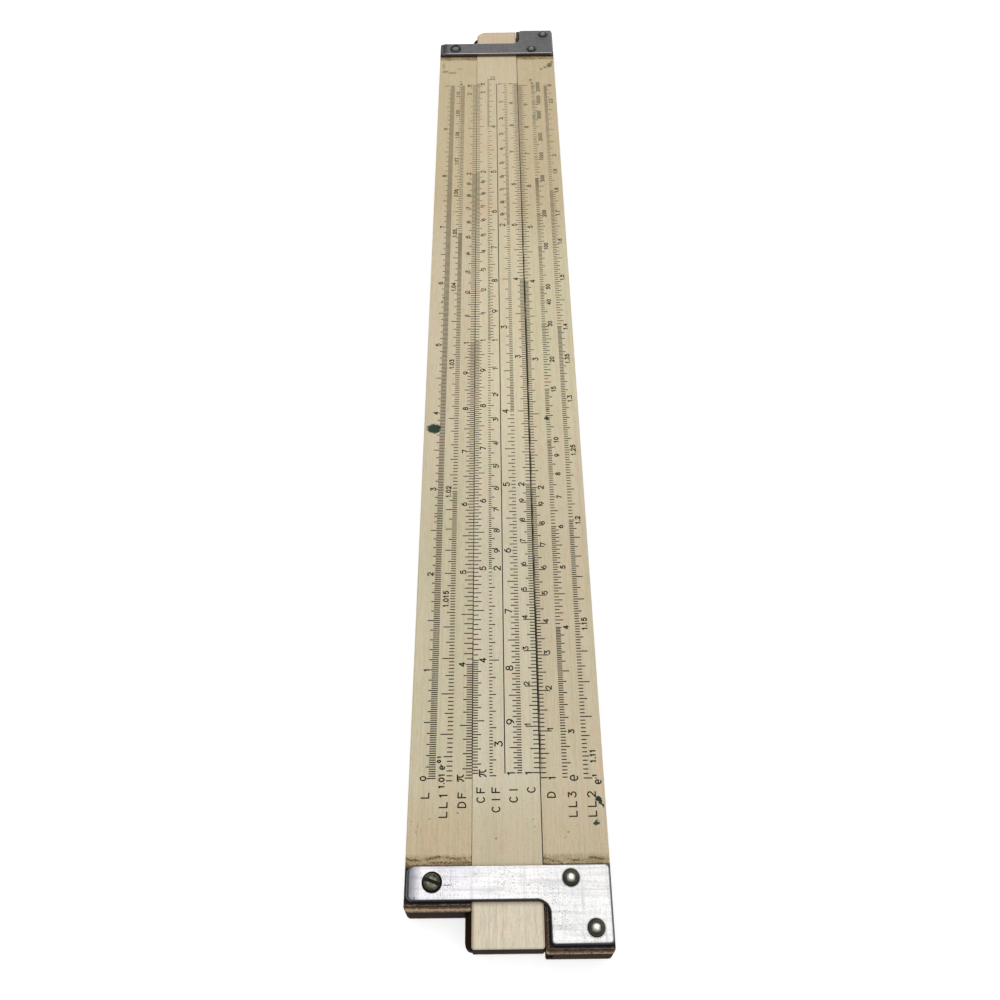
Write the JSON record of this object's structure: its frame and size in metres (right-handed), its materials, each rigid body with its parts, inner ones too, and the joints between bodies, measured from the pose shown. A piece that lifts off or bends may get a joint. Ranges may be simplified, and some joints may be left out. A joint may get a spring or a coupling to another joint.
{
  "type": "slide rule",
  "caption": "Duplex slide rule: grooved wooden rails and a tongued slide with engraved pale facings, joined by L-shaped metal end brackets, rivets and adjusting screws.",
  "frame": {"origin": "on the surface the rule lies on, under the middle of the lower rail's length and of the rule's width", "axes": "+X along the rule towards the right index, +Y across it towards the upper rail, +Z out of the front face"},
  "size_m": [0.3188, 0.0418, 0.0123],
  "materials": {
    "mahogany": "bare, darkened with age",
    "celluloid": "satin, yellowed, with fine lengthwise lines",
    "satin_nickel": "satin nickel plate, finely pitted",
    "dark_nickel": "polished, darkened",
    "brass": "turned"
  },
  "bodies": {
    "body": {"lower_rail_core": "mahogany", "lower_rail_front_facing": "celluloid", "lower_rail_back_facing": "celluloid", "upper_rail_core": "mahogany", "upper_rail_front_facing": "celluloid", "upper_rail_back_facing": "celluloid", "left_front_bracket": "satin_nickel", "left_back_bracket": "satin_nickel", "right_front_bracket": "satin_nickel", "right_back_bracket": "satin_nickel", "left_inner_rivet": "dark_nickel", "left_outer_rivet": "dark_nickel", "right_inner_rivet": "dark_nickel", "right_outer_rivet": "dark_nickel", "left_adjusting_bush": "brass", "right_adjusting_bush": "brass", "left_front_screw": "dark_nickel", "left_back_screw": "dark_nickel", "right_front_screw": "dark_nickel", "right_back_screw": "dark_nickel"},
    "slide": {"slide_core": "mahogany", "slide_front_facing": "celluloid", "slide_back_facing": "celluloid"}
  },
  "joints": [
    {"name": "slide_travel", "type": "slide", "parent": "body", "child": "slide", "axis": [1, 0, 0], "range_m": [-0.25, 0.25]}
  ]
}
